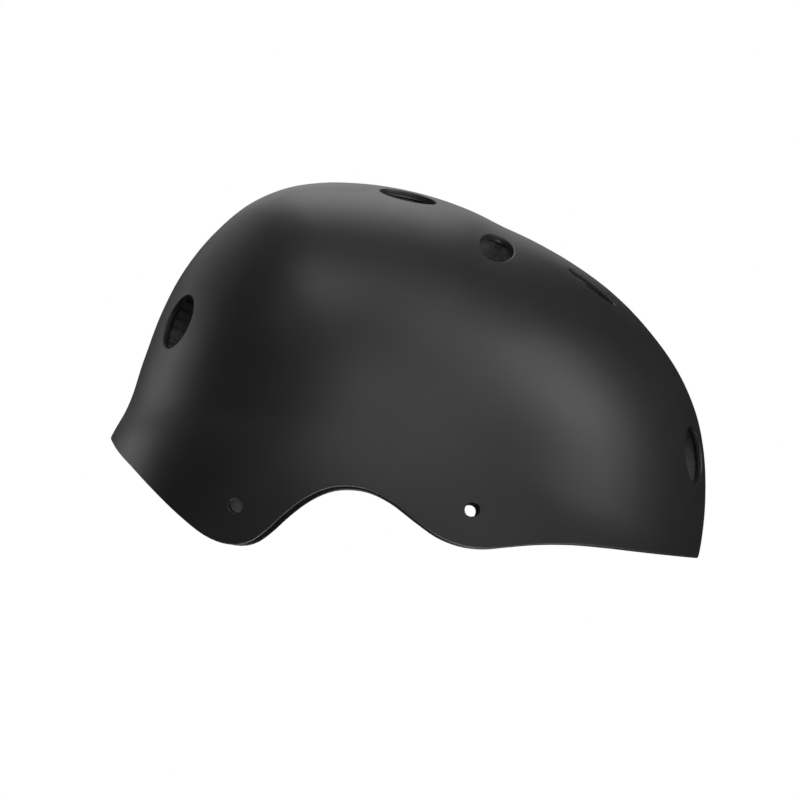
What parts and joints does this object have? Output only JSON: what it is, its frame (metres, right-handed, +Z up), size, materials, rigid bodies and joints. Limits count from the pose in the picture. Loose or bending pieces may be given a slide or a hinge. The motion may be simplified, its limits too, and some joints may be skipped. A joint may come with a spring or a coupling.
{
  "type": "open-face scooter helmet",
  "caption": "Open-face hard-shell helmet with round vents, foam liner, comfort pads and a rear dial that draws in a head belt.",
  "frame": {"origin": "on the plane that the helmet stands on, below the middle of the shell's length, on the plane of symmetry", "axes": "+X towards the forehead, +Y towards the wearer's left, +Z up towards the crown"},
  "size_m": [0.2828, 0.224, 0.1737],
  "materials": {
    "shell": "satin black moulded plastic with a soft sheen",
    "foam": "fine moulded bead foam, dark grey, matte",
    "pad_cloth": "black brushed knit over soft foam with pressed edges",
    "hook": "dark grey hook tape",
    "fit_plastic": "black injection-moulded plastic, fine grain",
    "belt_plastic": "flexible dark grey plastic, smooth",
    "pinion_plastic": "off-white acetal, smooth",
    "knob": "black soft-touch plastic with a fluted rim",
    "spring_steel": "bright spring steel",
    "screw_steel": "zinc-plated steel"
  },
  "bodies": {
    "helmet": {"outer_shell": "shell", "foam_liner": "foam", "brow_pad": "pad_cloth", "crown_pad": "pad_cloth", "left_side_pad": "pad_cloth", "right_side_pad": "pad_cloth", "rear_pad": "pad_cloth", "hook_patches": "hook", "hanger": "belt_plastic", "dial_carrier": "fit_plastic", "carrier_pad": "pad_cloth", "dial_cover": "fit_plastic", "cover_screws": "screw_steel", "dial_screw": "screw_steel", "detent_spring": "spring_steel", "left_belt": "belt_plastic", "right_belt": "belt_plastic", "left_anchor": "fit_plastic", "right_anchor": "fit_plastic"},
    "dial": {"dial_knob": "knob", "dial_pinion": "pinion_plastic"},
    "left_rack": {"left_rack": "fit_plastic"},
    "right_rack": {"right_rack": "fit_plastic"}
  },
  "joints": [
    {"name": "dial_turn", "type": "hinge", "parent": "helmet", "child": "dial", "pos_m": [-0.105, 0, 0.036], "axis": [1, 0, 0], "range_deg": [0, 119], "deforming": ["detent_spring"]},
    {"name": "left_rack_slide", "type": "slide", "parent": "helmet", "child": "left_rack", "axis": [0, -1, 0], "range_m": [0, 0.0125], "deforming": ["left_belt"]},
    {"name": "right_rack_slide", "type": "slide", "parent": "helmet", "child": "right_rack", "axis": [0, 1, 0], "range_m": [0, 0.0125], "deforming": ["right_belt"]}
  ],
  "couplings": [
    {"joint": "left_rack_slide", "follows": "dial_turn", "m_per_rad": 0.006},
    {"joint": "right_rack_slide", "follows": "dial_turn", "m_per_rad": 0.006}
  ]
}
